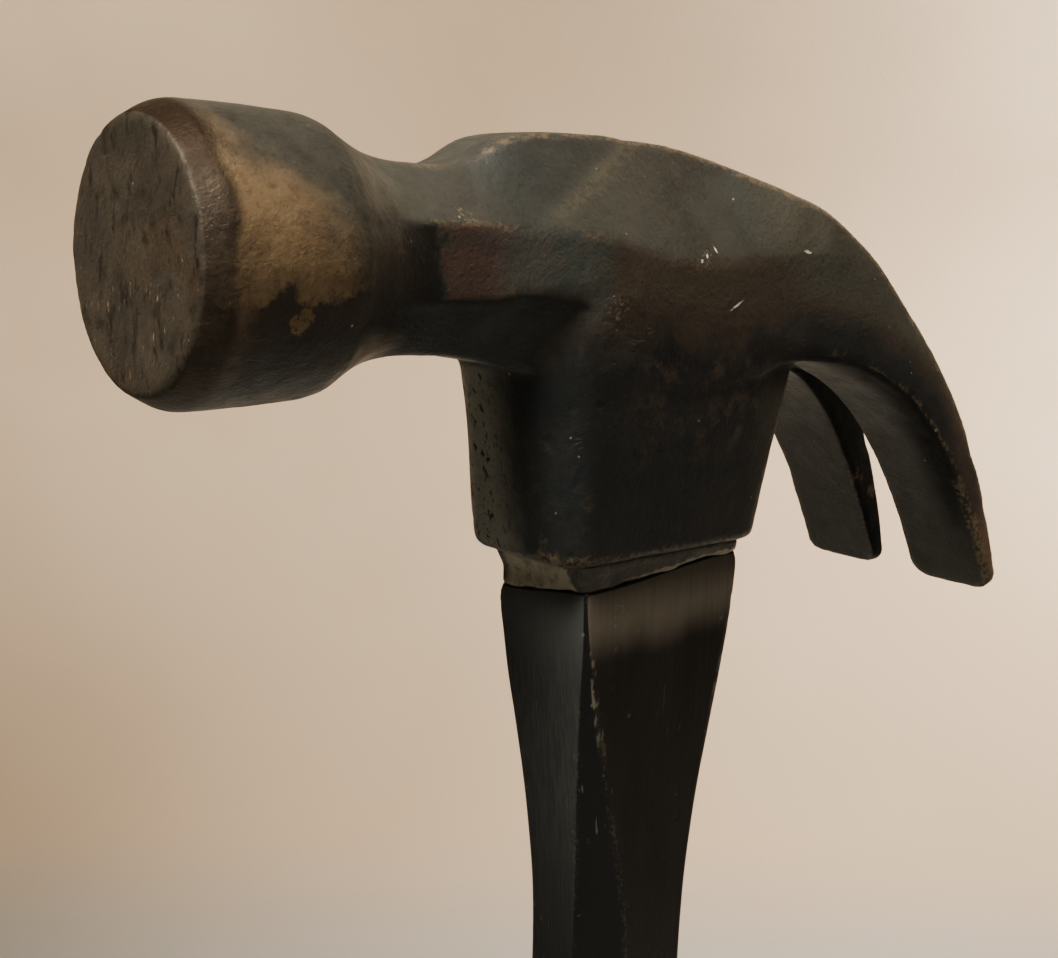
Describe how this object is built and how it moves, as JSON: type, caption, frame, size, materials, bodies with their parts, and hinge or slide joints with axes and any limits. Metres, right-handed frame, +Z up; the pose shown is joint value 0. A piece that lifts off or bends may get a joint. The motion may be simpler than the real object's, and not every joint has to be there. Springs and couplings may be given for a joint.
{
  "type": "claw hammer",
  "caption": "Curved-claw carpenter's hammer: forged head with round bell, octagonal neck and tapered socket on a slim octagonal moulded handle with a rubber grip.",
  "frame": {"origin": "centre of the grip's flat butt end, on the handle's centre line", "axes": "+Z up the handle from the butt to the head, -X towards the striking face, +X towards the claws, +Y across, with Y = 0 the plane of symmetry"},
  "size_m": [0.1295, 0.0338, 0.3305],
  "materials": {
    "forged_steel": "worn black paint over rust-browned forged steel, bare at the bell and face",
    "epoxy": "amber-cream cured adhesive, satin, dirty at the edges",
    "fibreglass": "pultruded bar, pale yellow, fine lengthwise fibres",
    "handle_moulding": "black-brown satin moulding with scuffs and pale chips along its edges",
    "grip_rubber": "matt black rubber, slightly polished by the hand"
  },
  "bodies": {
    "root": {"hammer_head": "forged_steel", "eye_resin": "epoxy", "handle_core": "fibreglass", "handle_jacket": "handle_moulding", "grip_sleeve": "grip_rubber"}
  },
  "joints": []
}
